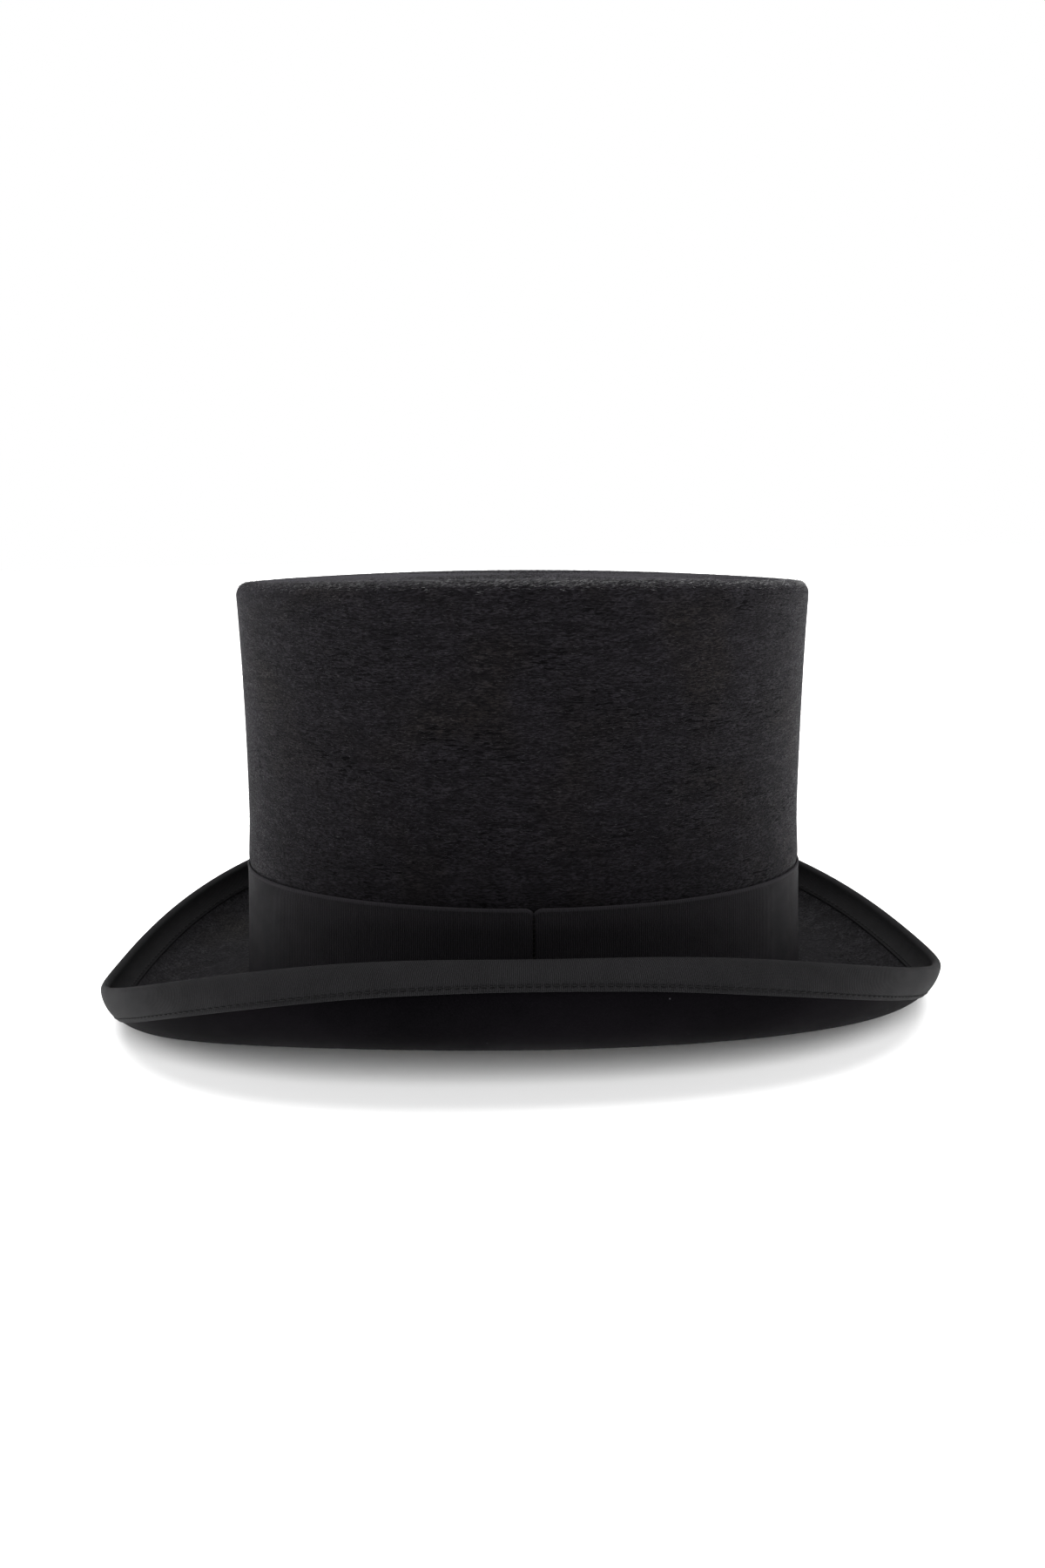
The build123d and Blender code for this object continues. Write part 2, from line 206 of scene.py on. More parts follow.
def half_length(height):
    offset = (np.minimum(height, CORNER_HEIGHT) - WAIST_HEIGHT) / WAIST_HEIGHT
    return WAIST_HALF_LENGTH + FLARE * offset**2


def oval_radius(angle, half):
    width = half - LENGTH_OVER_WIDTH
    return half * width / np.hypot(width * np.cos(angle), half * np.sin(angle))


def crown(angle, height, depth):
    """Points on the crown, upright: their height, and their depth under the cover's outside."""
    radius = oval_radius(angle, half_length(height) - depth)
    x = radius * np.cos(angle)
    rise = np.maximum(height, 0) / CROWN_HEIGHT
    slope = np.radians(around(START_SLOPE, START_SPREAD, angle))
    foot = -(BAND_OUT + depth) * np.tan(slope) * (1 - rise)
    arch = TIP_ARCH * (x / half_length(CROWN_HEIGHT) * rise) ** 2
    return np.stack([x, radius * np.sin(angle), height + foot - arch], axis=-1)


def corner(angle, turn, depth):
    """Points in the rounded corner: zero degrees at the side, ninety at the tip."""
    turn = np.radians(turn)
    radius = CROWN_CORNER - depth
    inset = CROWN_CORNER - radius * np.cos(turn)
    return crown(angle, CORNER_HEIGHT + radius * np.sin(turn), inset)


def brim(angle, share, extra, depth):
    """Points on the brim, upright: a share of its width plus a distance, and a depth under its top."""
    start = np.radians(around(START_SLOPE, START_SPREAD, angle))
    end = np.radians(around(END_SLOPE, END_SPREAD, angle))
    width = around(BRIM_WIDTH, WIDTH_SPREAD, angle)
    along = share * width + extra
    radius = oval_radius(angle, half_length(0) + BAND_OUT) + np.minimum(along, 0)
    height = np.minimum(along, 0) * np.tan(start)
    outward = np.maximum(along, 0)
    step = outward / BRIM_STEPS
    for index in range(BRIM_STEPS):
        slope = start + (end - start) * ((index + 0.5) * step / width) ** CURL_POWER
        radius = radius + step * np.cos(slope)
        height = height + step * np.sin(slope)
    slope = start + (end - start) * (outward / width) ** CURL_POWER
    slope = slope * np.minimum(1.0, outward / LAYER_TURN)
    radius = radius + depth * np.sin(slope)
    height = height - depth * np.cos(slope)
    return np.stack([radius * np.cos(angle), radius * np.sin(angle), height], axis=-1)


def edge(angle, turn, radius):
    """Points in the edge's roll: zero degrees on the upper face, 180 on the under face."""
    turn = math.radians(turn)
    return brim(angle, 1, radius * math.sin(turn), BRIM_THICK / 2 - radius * math.cos(turn))


def binding_reach(angle):
    """How far the binding comes down the outer face."""
    return around(BINDING_OUTER, BINDING_SPREAD, angle)


def leaned(points):
    x, y, z = points[..., 0], points[..., 1], points[..., 2]
    cos, sin = math.cos(LEAN), math.sin(LEAN)
    return np.stack([x * cos + z * sin, y, z * cos - x * sin], axis=-1)


def full_turn(count=AROUND):
    return np.arange(count) * 2 * math.pi / count


def rest_shift():
    """From the leaned hat to the row frame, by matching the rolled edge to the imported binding."""
    angle = full_turn()
    roll = [leaned(edge(angle, turn, BRIM_THICK / 2 + GAP + BINDING_THICK)) for turn in range(0, 181, 15)]
    roll += [leaned(brim(angle, 1, -binding_reach(angle), BRIM_THICK + GAP + BINDING_THICK))]
    points = np.concatenate(roll)
    low, high = (np.array(corner_point) for corner_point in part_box("brim_binding"))
    middle = (low + high - points.min(0) - points.max(0)) / 2
    return np.array([middle[0], middle[1], low[2] - points[:, 2].min()])


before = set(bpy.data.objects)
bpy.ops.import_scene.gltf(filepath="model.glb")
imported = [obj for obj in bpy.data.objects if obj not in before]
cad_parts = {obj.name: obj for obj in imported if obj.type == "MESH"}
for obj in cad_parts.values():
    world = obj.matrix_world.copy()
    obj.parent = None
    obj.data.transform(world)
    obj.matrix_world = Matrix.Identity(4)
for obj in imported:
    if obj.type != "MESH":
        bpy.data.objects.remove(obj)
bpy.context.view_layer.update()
REST = rest_shift()
RNG = np.random.default_rng(SEED)


def in_row(points):
    return leaned(points) + REST


# --- Meshes ---


def unit(vectors):
    return vectors / np.linalg.norm(vectors, axis=-1, keepdims=True)


def finish_piece(name, points, quads, material, uvs=None, triangles=None):
    """A smooth mesh that rides on the hat. uvs holds a pair for each corner of each face."""
    mesh = bpy.data.meshes.new(name)
    faces = quads.tolist() + ([] if triangles is None else triangles.tolist())
    mesh.from_pydata(points.tolist(), [], faces)
    mesh.polygons.foreach_set("use_smooth", np.ones(len(faces), dtype=bool))
    if uvs is not None:
        layer = mesh.uv_layers.new(name="flat")
        layer.data.foreach_set("uv", np.asarray(uvs, dtype=np.float32).ravel())
    mesh.materials.append(material)
    mesh.update()
    piece = bpy.data.objects.new(name, mesh)
    bpy.context.scene.collection.objects.link(piece)
    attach(piece, "root")
    return piece


def grid_cells(rows, columns, closed):
    """The first row and column of each face in a grid of points. Every row closes on itself, and
    the columns do if closed is true."""
    row, column = np.meshgrid(np.arange(rows if closed else rows - 1), np.arange(columns), indexing="ij")
    return row.ravel(), column.ravel()


def grid_quads(rows, columns, closed=False):
    """The faces of a grid of points, as four point numbers each."""
    row, column = grid_cells(rows, columns, closed)
    next_row, next_column = (row + 1) % rows, (column + 1) % columns
    corners = [(row, column), (row, next_column), (next_row, next_column), (next_row, column)]
    return np.stack([at_row * columns + at_column for at_row, at_column in corners], axis=1)


def grid_uvs(grid, closed):
    """Distances along and across a grid, in metres, for each corner of its faces."""
    across = np.linalg.norm(np.roll(grid, -1, axis=1) - grid, axis=2).mean(0)
    down = np.linalg.norm(np.roll(grid, -1, axis=0) - grid, axis=2).mean(1)
    u = np.concatenate([[0], np.cumsum(across)])
    v = np.concatenate([[0], np.cumsum(down)])
    row, column = grid_cells(*grid.shape[:2], closed)
    corners = [(row, column), (row, column + 1), (row + 1, column + 1), (row + 1, column)]
    return np.stack([np.stack([u[at_column], v[at_row]], 1) for at_row, at_column in corners], axis=1)


def grid_piece(name, grid, material, closed=True):
    """A piece whose surface is a grid of points, upright."""
    quads = grid_quads(*grid.shape[:2], closed)
    points = in_row(grid.reshape(-1, 3))
    return finish_piece(name, points, quads, material, grid_uvs(grid, closed))


def rounded_end(last, before, other):
    """A ring beyond the end of a strip's two faces, which rounds its edge."""
    outward = last - before
    outward /= np.linalg.norm(outward, axis=-1, keepdims=True) + 1e-12
    thick = np.linalg.norm(other - last, axis=-1, keepdims=True)
    return (last + other) / 2 + outward * thick / 2


def strip_piece(name, face, back, material):
    """A cloth or leather strip round the hat with two faces, each a list of rows, and rounded edges."""
    face, back = np.array(face), np.array(back)
    end = rounded_end(face[-1], face[-2], back[-1])
    start = rounded_end(face[0], face[1], back[0])
    grid = np.concatenate([face, end[None], back[::-1], start[None]])
    return grid_piece(name, grid, material)


def smooth_step(value, low, high):
    share = np.clip((value - low) / (high - low), 0, 1)
    return share * share * (3 - 2 * share)


def waviness(angle, across, size, seed):
    """Slow unevenness of hand-blocked cloth, periodic round the hat."""
    source = np.random.default_rng(seed)
    total = 0
    for turns in WAVE_TURNS:
        phase, drift = source.uniform(0, 2 * math.pi, 2)
        rate = source.uniform(*WAVE_RATES)
        total = total + np.sin(turns * angle + phase) * np.sin(rate * across + drift) / turns**0.5
    return size * total / WAVE_LEVEL


# --- Crown ---


def side_face(angle, depth, rows, wave=0.0):
    """The crown's side from its foot up round the corner, as rows of points. The cloth is full just
    above the band and uneven further up."""
    grid = []
    for height in np.linspace(GAP, CORNER_HEIGHT, rows):
        full = smooth_step(height, BAND_HEIGHT, BAND_HEIGHT + PUFF_RISE)
        wavy = smooth_step(height, BAND_HEIGHT + CALM_RISE, BAND_HEIGHT + WAVY_RISE)
        bulge = waviness(angle, height, wave, SEED) * wavy + wave * PUFF * full * (1 - wavy)
        grid.append(crown(angle, height, depth - bulge))
    for turn in np.linspace(0, 90, CORNER_ROWS)[1:]:
        bulge = waviness(angle, CORNER_HEIGHT, wave, SEED) * math.cos(math.radians(turn))
        grid.append(corner(angle, turn, depth - bulge))
    return grid


def crown_side(material):
    angle = full_turn()
    face = side_face(angle, 0.0, SIDE_ROWS, SIDE_WAVE)
    back = side_face(angle, COVER_THICK, SIDE_BACK_ROWS)
    piece = strip_piece("crown_side_nap_cloth", face, back, material)
    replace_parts(piece, "crown_side_cover")


def tip_points(angle, share, depth):
    """Points on the crown's tip: a share of the way out from its middle."""
    half = half_length(CORNER_HEIGHT) - CROWN_CORNER
    radius = oval_radius(angle, half) * share
    x = radius * np.cos(angle)
    top = CROWN_HEIGHT - depth - TIP_ARCH * (x / half) ** 2
    return np.stack([x, radius * np.sin(angle), top], axis=-1)


def disc_piece(name, face, material):
    """A piece whose surface is rings of points that shrink to the middle point of the last ring."""
    face = np.array(face)
    rings, columns = face.shape[:2]
    middle = face[-1].mean(0)
    points = np.concatenate([face.reshape(-1, 3), middle[None]])
    quads = grid_quads(rings, columns)
    inner = (rings - 1) * columns + np.arange(columns)
    hub = np.full(columns, rings * columns)
    fan = np.stack([inner, np.roll(inner, -1), hub], axis=1)
    return finish_piece(name, in_row(points), quads, material, triangles=fan)


def crown_tip(material):
    angle = full_turn()
    rows = [tip_points(angle, TIP_FIT, COVER_THICK)]
    for share in np.linspace(1, SMALLEST_RING, TIP_ROWS):
        fade = 1 - smooth_step(share, 0.9, 1.0)
        bulge = waviness(angle, share * TIP_WAVE_REACH, TIP_WAVE, SEED + 1) * fade
        rows.append(tip_points(angle, share * TIP_FIT, -bulge))
    piece = disc_piece("crown_tip_nap_cloth", rows, material)
    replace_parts(piece, "crown_tip_cover")


# --- Brim ---


def brim_rows(angle, start, depth, wave=0.0):
    """A face of the brim, as rows from beside the break out to the edge."""
    width = around(BRIM_WIDTH, WIDTH_SPREAD, angle)
    grid = []
    for share in np.linspace(0, 1, BRIM_ROWS):
        along = start + (width - EDGE_SETBACK - start) * share
        fade = math.sin(math.pi * share) ** 0.5
        bulge = waviness(angle, share * BRIM_WAVE_REACH, wave, SEED + 2) * fade
        grid.append(brim(angle, 0, along, depth - bulge))
    return grid


def brim_upper(material):
    angle = full_turn()
    start = GAP - BAND_OUT - SHELL_DEPTH
    face = brim_rows(angle, start, 0.0, BRIM_WAVE)
    back = brim_rows(angle, start, BRIM_COVER_THICK)
    piece = strip_piece("brim_upper_nap_cloth", face, back, material)
    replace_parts(piece, "brim_upper_cover")


def brim_under(material):
    angle = full_turn()
    start = -BAND_OUT - SHELL_DEPTH - SHELL_THICK
    face = brim_rows(angle, start, BRIM_THICK)
    back = brim_rows(angle, start, UNDER_DEPTH)
    piece = strip_piece("brim_under_cloth", face, back, material)
    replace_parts(piece, "brim_under_cover")


def binding_face(angle, lift, inner, outer, groove=0.0):
    """The folded ribbon's path over the edge, as rows from the upper face round to the under face,
    drawn in by a groove where it is sewn."""
    rows = [brim(angle, 1, -along, -lift) for along in np.linspace(inner, 0, BINDING_INNER_ROWS)[:-1]]
    rows += [edge(angle, turn, BRIM_THICK / 2 + lift) for turn in np.linspace(0, 180, BINDING_ROLL_ROWS)]
    for along in np.linspace(0, outer, BINDING_OUTER_ROWS)[1:]:
        from_stitches = (outer - along - BINDING_STITCH_INSET) / STITCH_GROOVE_HALF
        rows.append(brim(angle, 1, -along, BRIM_THICK + lift - groove * np.exp(-(from_stitches**2))))
    return rows


def binding(material):
    angle = full_turn()
    pull = waviness(angle, 0.01, BINDING_WAVE, SEED + 3)
    outer = binding_reach(angle) + pull
    inner = BINDING_INNER + pull
    face = binding_face(angle, GAP + BINDING_THICK, inner, outer, STITCH_GROOVE)
    back = binding_face(angle, GAP, inner, outer)
    piece = strip_piece("binding_ribbon", face, back, material)
    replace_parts(piece, "brim_binding")


# --- Band ---


def band_angles():
    """Directions round the band, closer together beside its join."""
    close = np.linspace(0, JOIN_CLOSE_UP, 90)
    spread = np.concatenate([close, np.linspace(JOIN_CLOSE_UP, 180, 400)[1:-1]])
    turns = np.concatenate([-spread[::-1], spread[1:-1]])
    return JOIN_ANGLE + np.radians(turns)


def beside_join(beside, size):
    """A depth that is full beside a join and fades further away."""
    depth, near, far = size
    return depth * (1 - smooth_step(beside, near, far))


def band(material):
    """The ribbon, turned under at both ends, which meet in a narrow groove with a notch on top."""
    angle = band_angles()
    beside = np.abs(angle - JOIN_ANGLE) * oval_radius(angle, half_length(0))
    shape = beside_join(beside, BAND_GROOVE) - beside_join(beside, BAND_FOLD)
    notch = NOTCH_DEPTH * np.clip(1 - beside / NOTCH_HALF, 0, 1) ** NOTCH_POWER
    top = BAND_HEIGHT - notch + waviness(angle, 0.0, BAND_WAVE, SEED + 4)
    rows, back = [], []
    for share in np.linspace(0, 1, BAND_ROWS):
        height = GAP + (top - GAP) * share
        at_edges = smooth_step(share, 0.972, 0.984) + 1 - smooth_step(share, 0.016, 0.028)
        depth = shape - BAND_OUT - SELVEDGE_RISE * at_edges
        rows.append(crown(angle, height, depth))
        back.append(crown(angle, height, -GAP))
    piece = strip_piece("band_ribbon", rows, back, material)
    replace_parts(piece, "hat_band")


# --- Thread ---


def evenly(place, pitch):
    """Directions at which a path round the hat is cut into equal lengths."""
    angle = np.linspace(0, 2 * math.pi, PATH_POINTS)
    steps = np.linalg.norm(np.diff(place(angle), axis=0), axis=1)
    run = np.concatenate([[0], np.cumsum(steps)])
    count = int(run[-1] / pitch)
    return np.interp(np.arange(count) * run[-1] / count, run, angle)


def stitch_piece(name, starts, ends, outward, radius, material):
    """Short threads that rise out of the cloth, cross it and go back in."""
    shares = np.array([0.0, 0.08, 0.25, 0.5, 0.75, 0.92, 1.0])
    lift = np.array([-0.8, 0.3, 0.75, 0.9, 0.75, 0.3, -0.8]) * radius
    width = np.array([0.7, 1.0, 1.0, 1.0, 1.0, 1.0, 0.7]) * radius
    turns = full_turn(STITCH_SIDES)
    along = ends - starts
    side = np.cross(unit(along), outward)
    middle = starts[:, None] + along[:, None] * shares[None, :, None] + outward[:, None] * lift[None, :, None]
    ring = side[:, None] * np.cos(turns)[None, :, None] + outward[:, None] * np.sin(turns)[None, :, None]
    points = middle[:, :, None] + ring[:, None] * width[None, :, None, None]
    one = grid_quads(len(shares), len(turns))
    size = len(shares) * len(turns)
    quads = (one[None] + np.arange(len(starts))[:, None, None] * size).reshape(-1, 4)
    return finish_piece(name, in_row(points.reshape(-1, 3)), quads, material)


def stitch_line(name, place, lifted, pitch, length, material):
    """A line of stitches round the hat on the path place; lifted is the same path further out."""
    angle = evenly(place, pitch)
    step = np.linalg.norm(place(angle + SMALL_TURN) - place(angle), axis=1) / SMALL_TURN
    half = length / step / 2
    jitter = RNG.normal(0, STITCH_JITTER, len(angle)) * half
    starts = place(angle - half + jitter)
    ends = place(angle + half + jitter)
    outward = unit(lifted(angle) - place(angle))
    return stitch_piece(name, starts, ends, outward, THREAD_RADIUS, material)


def binding_stitches(material):
    face = BRIM_THICK + GAP + BINDING_THICK

    def outer(lift):
        depth = face - STITCH_GROOVE / 2 + lift
        return lambda angle: brim(angle, 1, BINDING_STITCH_INSET - binding_reach(angle), depth)

    def inner(lift):
        return lambda angle: brim(angle, 1, BINDING_STITCH_INSET - BINDING_INNER, -GAP - BINDING_THICK - lift)

    sizes = (BINDING_STITCH_PITCH, BINDING_STITCH_LENGTH)
    under = stitch_line("binding_stitches_under", outer(0), outer(MM), *sizes, material)
    stitch_line("binding_stitches_upper", inner(0), inner(MM), *sizes, material)
    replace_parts(under, "binding_stitching")


def join_stitches(material):
    """Slanting hand stitches across the band's join."""
    heights = np.arange(JOIN_MARGIN, BAND_HEIGHT - JOIN_MARGIN, JOIN_PITCH)
    half_step = JOIN_REACH / oval_radius(JOIN_ANGLE, half_length(0))
    left = np.full(len(heights), JOIN_ANGLE - half_step)
    right = np.full(len(heights), JOIN_ANGLE + half_step)
    depth = -BAND_OUT - THREAD_LIFT
    starts = crown(left, heights - JOIN_SLANT, depth)
    ends = crown(right, heights + JOIN_SLANT, depth)
    outward = np.tile([0.0, -1.0, 0.0], (len(heights), 1))
    piece = stitch_piece("band_join_thread", starts, ends, outward, JOIN_THREAD_RADIUS, material)
    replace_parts(piece, "hat_band_join_stitches")


# --- Nap ---


def nap(name, surface, first, second, size, material):
    """Short hairs as real blades, combed along the first of the two numbers that surface takes.
    first and second are those numbers at the roots."""
    length, spread, lift = size
    count = len(first)
    step = 1e-4
    root = surface(first, second)
    along = unit(surface(first + step, second) - root)
    normal = unit(np.cross(along, surface(first, second + step) - root))
    across = np.cross(normal, along)
    turn = RNG.normal(0, COMB_SPREAD, count)
    comb = along * np.cos(turn)[:, None] + across * np.sin(turn)[:, None]
    reach = np.clip(RNG.normal(length, spread, count), 0.3 * length, 2 * length)[:, None]
    rise = np.abs(RNG.normal(lift, lift * 0.8, count))[:, None]
    middle = root + comb * reach * 0.5 + normal * reach * rise * 0.75
    tip = root + comb * reach + normal * reach * rise
    twist = RNG.uniform(0, math.pi, count)[:, None]
    flat = np.cross(comb, normal) * np.cos(twist) + normal * np.sin(twist)
    half = RNG.uniform(*HAIR_HALF_WIDTH, count)[:, None]
    sunk = root - normal * HAIR_ROOT
    rows = [sunk - flat * half, sunk + flat * half, middle - flat * half * 0.8, middle + flat * half * 0.8]
    rows += [tip - flat * half * 0.2, tip + flat * half * 0.2]
    points = np.stack(rows, axis=1).reshape(-1, 3)
    base = np.arange(count)[:, None] * 6
    quads = np.concatenate([base + [0, 1, 3, 2], base + [2, 3, 5, 4]])
    return finish_piece(name, in_row(points), quads, material)


def crown_side_nap(name, count, material):
    def surface(angle, height):
        return crown(angle, height, 0.0)

    first = RNG.uniform(0, 2 * math.pi, count)
    second = RNG.uniform(BAND_HEIGHT + SIDE_NAP_START, CORNER_HEIGHT, count)
    nap(name, surface, first, second, SIDE_HAIR, material)


def crown_corner_nap(material):
    def surface(angle, turn):
        return corner(angle, np.degrees(turn), 0.0)

    first = RNG.uniform(0, 2 * math.pi, CORNER_HAIRS)
    second = np.clip(RNG.normal(*CORNER_NAP, CORNER_HAIRS), 0, math.pi / 2)
    nap("crown_corner_nap_hair", surface, first, second, CORNER_HAIR, material)


def crown_tip_nap(material):
    def surface(angle, share):
        return tip_points(angle, share, 0.0)

    first = RNG.uniform(0, 2 * math.pi, TIP_HAIRS)
    second = np.sqrt(RNG.uniform(TIP_NAP_SMALLEST, 1, TIP_HAIRS))
    nap("crown_tip_nap_hair", surface, first, second, TIP_HAIR, material)


def brim_nap(material):
    def surface(angle, share):
        width = around(BRIM_WIDTH, WIDTH_SPREAD, angle)
        return brim(angle, 0, share * (width - BINDING_INNER), 0.0)

    first = RNG.uniform(0, 2 * math.pi, BRIM_HAIRS)
    second = RNG.uniform(*BRIM_NAP_SHARES, BRIM_HAIRS)
    nap("brim_upper_nap_hair", surface, first, second, BRIM_HAIR, material)


# --- Sweatband and lining ---


def sweatband(material):
    angle = band_angles() - JOIN_ANGLE
    beside = np.abs(angle) * oval_radius(angle, half_length(0) - LEATHER_FACE)
    groove = beside_join(beside, LEATHER_GROOVE)
    rows, back = [], []
    for share in np.linspace(0, 1, LEATHER_ROWS):
        height = LEATHER_FOOT + (LEATHER_TOP - LEATHER_FOOT) * share
        ease = waviness(angle, height, LEATHER_WAVE, SEED + 5) * share
        rows.append(crown(angle, height, LEATHER_FACE - groove + ease))
        back.append(crown(angle, height, LEATHER_DEPTH))
    name, slot = "sweatband_leather_strip", "sweatband_leather"
    piece = strip_piece(name, rows, back, material)
    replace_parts(piece, "sweatband")


def sweatband_join(material):
    """Zigzag thread over the leather's back join."""
    heights = np.arange(ZIGZAG_FOOT, LEATHER_TOP - JOIN_MARGIN, ZIGZAG_PITCH)
    side = np.where(np.arange(len(heights)) % 2, ZIGZAG_HALF_WIDTH, -ZIGZAG_HALF_WIDTH)
    x = half_length(heights) - LEATHER_FACE - THREAD_LIFT
    starts = np.stack([x, side, heights - ZIGZAG_RISE], axis=1)
    ends = np.stack([x, -side, heights + ZIGZAG_RISE], axis=1)
    outward = np.tile([-1.0, 0.0, 0.0], (len(heights), 1))
    piece = stitch_piece("sweatband_join_thread", starts, ends, outward, THREAD_RADIUS, material)
    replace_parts(piece, "sweatband_join_stitches")


def reed_ring(angle, turn, radius):
    turn = math.radians(turn)
    return crown(angle, REED_HEIGHT + radius * math.sin(turn), REED_DEPTH + radius * math.cos(turn))


def reed_tape(material):
    angle = full_turn(TAPE_AROUND)
    faces = []
    inside_heights = np.linspace(TAPE_TOP, REED_HEIGHT, 8)
    hem_heights = np.linspace(REED_HEIGHT, TAPE_HEM_TOP, 6)[1:]
    for radius in (REED_RADIUS + GAP + TAPE_THICK, REED_RADIUS + GAP):
        rows = [crown(angle, height, REED_DEPTH - radius) for height in inside_heights]
        rows += [reed_ring(angle, turn, radius) for turn in np.linspace(180, 360, 13)[1:]]
        rows += [crown(angle, height, REED_DEPTH + radius) for height in hem_heights]
        faces.append(rows)
    piece = strip_piece("sweatband_tape", faces[0], faces[1], material)
    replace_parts(piece, "sweatband_reed_tape")


def sweatband_stitches(material):
    depth = REED_DEPTH + REED_RADIUS + GAP + TAPE_THICK

    def face(lift):
        return lambda angle: crown(angle, HEM_STITCH_HEIGHT, depth + lift)

    sizes = (HEM_STITCH_PITCH, HEM_STITCH_LENGTH)
    piece = stitch_line("sweatband_hem_thread", face(0), face(MM), *sizes, material)
    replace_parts(piece, "sweatband_stitching")


def pleats(angle, size):
    """Uneven little gathers, as a height that is never below zero."""
    source = np.random.default_rng(SEED + 6)
    wander = sum(source.uniform(0.3, 1.0) * np.sin(turn * angle + source.uniform(0, 6)) for turn in (3, 5, 8))
    return size * (0.5 + 0.5 * np.sin(GATHERS * angle + wander)) ** 1.5


def lining_side(material):
    angle = full_turn(LINING_AROUND)
    rows, back = [], []
    for share in np.linspace(0, 1, LINING_ROWS):
        height = LINING_FOOT + (CROWN_HEIGHT - LINING_DEPTH - LINING_FOOT) * share
        fullness = pleats(angle, SIDE_GATHER) * (0.25 + 0.75 * smooth_step(share, 0.35, 1.0))
        inset = CROWN_CORNER - LINING_DEPTH
        rounding = inset * (1 - math.sqrt(1 - smooth_step(height, CORNER_HEIGHT, CROWN_HEIGHT) ** 2))
        depth = LINING_DEPTH + rounding
        rows.append(crown(angle, height, depth + LINING_THICK + fullness))
        back.append(crown(angle, height, depth + fullness))
    piece = strip_piece("lining_side_satin", rows, back, material)
    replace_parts(piece, "lining_side")


def lining_tip(material):
    angle = full_turn(LINING_TIP_AROUND)
    rows = []
    for share in np.linspace(1, SMALLEST_RING, LINING_TIP_ROWS):
        gather = pleats(angle, TIP_GATHER) * smooth_step(share, 0.72, 1.0)
        rows.append(tip_points(angle, share * LINING_TIP_SHARE, LINING_DEPTH + LINING_THICK + gather))
    top = tip_points(angle, LINING_TIP_SHARE, LINING_DEPTH)
    piece = disc_piece("lining_tip_satin", [top, *rows], material)
    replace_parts(piece, "lining_tip")


# --- Bow ---

BOW_HEIGHT = 9.0 * MM
BOW_CLEARANCE = 2.4 * MM
BOW_LOOP = (14.0 * MM, 7.5 * MM, 2.2 * MM)
BOW_KNOT = (4.2 * MM, 4.6 * MM, 3.0 * MM)
BOW_TAIL = (11.0 * MM, 4.5 * MM)
BOW_CREASE = 0.28 * MM
KNOT_CREASE = 0.16 * MM
TAIL_CREASE = 0.12 * MM
TAIL_DROOP = math.radians(20)
LOOP_START = BOW_KNOT[0] * 0.3  # the loops and tails begin inside the knot
RIBBON_THICK = 0.35 * MM
RIBBON_POINTS = 13


def ribbon(name, path, across, material, closed=False, wrinkle=None):
    """A ribbon along a path. across is half its width at each point, as a vector."""
    after = np.roll(path, -1, axis=0)
    before = np.roll(path, 1, axis=0)
    if not closed:
        after[-1], before[0] = path[-1], path[0]
    normal = unit(np.cross(after - before, across))
    shares = np.linspace(-1, 1, RIBBON_POINTS)
    crease = np.zeros((len(path), len(shares))) if wrinkle is None else wrinkle(shares)
    middle = path[:, None] + across[:, None] * shares[None, :, None] + normal[:, None] * crease[..., None]
    half = normal[:, None] * RIBBON_THICK / 2
    section = np.concatenate([middle + half, (middle - half)[:, ::-1]], axis=1)
    return grid_piece(name, section, material, closed)


def bow(material):
    x = half_length(BOW_HEIGHT) - LEATHER_FACE - BOW_CLEARANCE
    length, height, depth = BOW_LOOP
    turn = full_turn(56)
    loops = []
    for side in (-1, 1):
        open_share = np.sin(turn / 2) ** 2
        y = side * (LOOP_START + length * 0.98 * open_share)
        loop_x = x - depth / 2 + (depth / 2 - RIBBON_THICK) * np.sin(turn) * (0.35 + 0.65 * open_share)
        path = np.stack([loop_x, y, BOW_HEIGHT + 0.4 * MM * open_share], axis=1)
        half_height = height / 2 * (0.5 + 0.5 * open_share**0.7)
        across = np.stack([0 * turn, 0 * turn, half_height], axis=1)

        def pinch(shares, pinched=1 - open_share):
            return BOW_CREASE * np.sin(2.5 * math.pi * shares)[None] * pinched[:, None] ** 2

        name = "bow_loop_left" if side < 0 else "bow_loop_right"
        loops.append(ribbon(name, path, across, material, True, pinch))
    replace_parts(loops[0], "sweatband_bow_loops")
    bow_knot(x, material)
    bow_tails(x, material)


def bow_knot(x, material):
    width, height, depth = BOW_KNOT
    turn = full_turn(40)
    path_x = x - depth / 2 + (depth - RIBBON_THICK) / 2 * np.cos(turn)
    path_z = BOW_HEIGHT + (height - RIBBON_THICK) / 2 * np.sin(turn)
    path = np.stack([path_x, 0 * turn, path_z], axis=1)
    across = np.tile([0.0, width / 2, 0.0], (len(turn), 1))

    def fold(shares):
        return KNOT_CREASE * np.cos(3 * math.pi * shares)[None] * np.ones((len(turn), 1))

    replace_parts(ribbon("bow_knot_ribbon", path, across, material, True, fold), "sweatband_bow_knot")


def bow_tails(x, material):
    length, width = BOW_TAIL
    share = np.linspace(0, 1, 24)
    tails = []
    for side in (-1, 1):
        y = side * (LOOP_START + length * share * math.cos(TAIL_DROOP))
        z = BOW_HEIGHT - BOW_LOOP[1] / 2 - length * share**1.3 * math.sin(TAIL_DROOP)
        path = np.stack([x + 0.5 * MM + TAIL_CREASE * np.sin(5 * share), y, z], axis=1)
        tilt = np.array([0.0, side * math.sin(TAIL_DROOP), math.cos(TAIL_DROOP)])
        across = tilt[None] * (width / 2 * (0.7 + 0.3 * smooth_step(share, 0, 0.5)))[:, None]
        name = "bow_tail_left" if side < 0 else "bow_tail_right"
        tails.append(ribbon(name, path, across, material))
    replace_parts(tails[0], "sweatband_bow_tails")


# --- Materials ---


